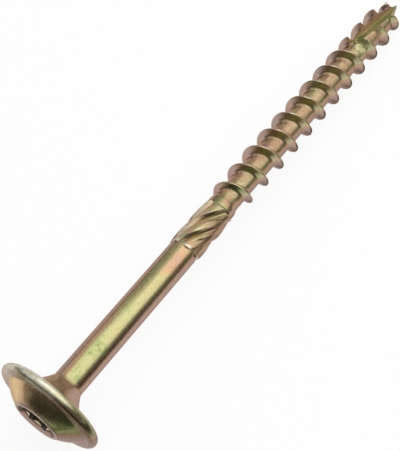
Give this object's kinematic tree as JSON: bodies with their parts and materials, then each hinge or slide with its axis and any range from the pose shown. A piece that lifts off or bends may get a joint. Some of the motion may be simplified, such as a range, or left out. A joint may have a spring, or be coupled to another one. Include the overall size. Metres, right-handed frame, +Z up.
{
  "type": "wafer head wood screw",
  "caption": "Structural wood screw with a wide wafer head, six-lobe drive recess, plain shank, fluted reamer, coarse partial thread and notched point.",
  "frame": {"origin": "middle of the lying screw's box, at the floor", "axes": "+X along the screw towards the point, +Z up from the floor it lies on"},
  "size_m": [0.1244, 0.0208, 0.0208],
  "materials": {
    "zinc_steel": "yellow zinc passivated, satin to bright"
  },
  "bodies": {
    "root": {"screw": "zinc_steel"}
  },
  "joints": []
}
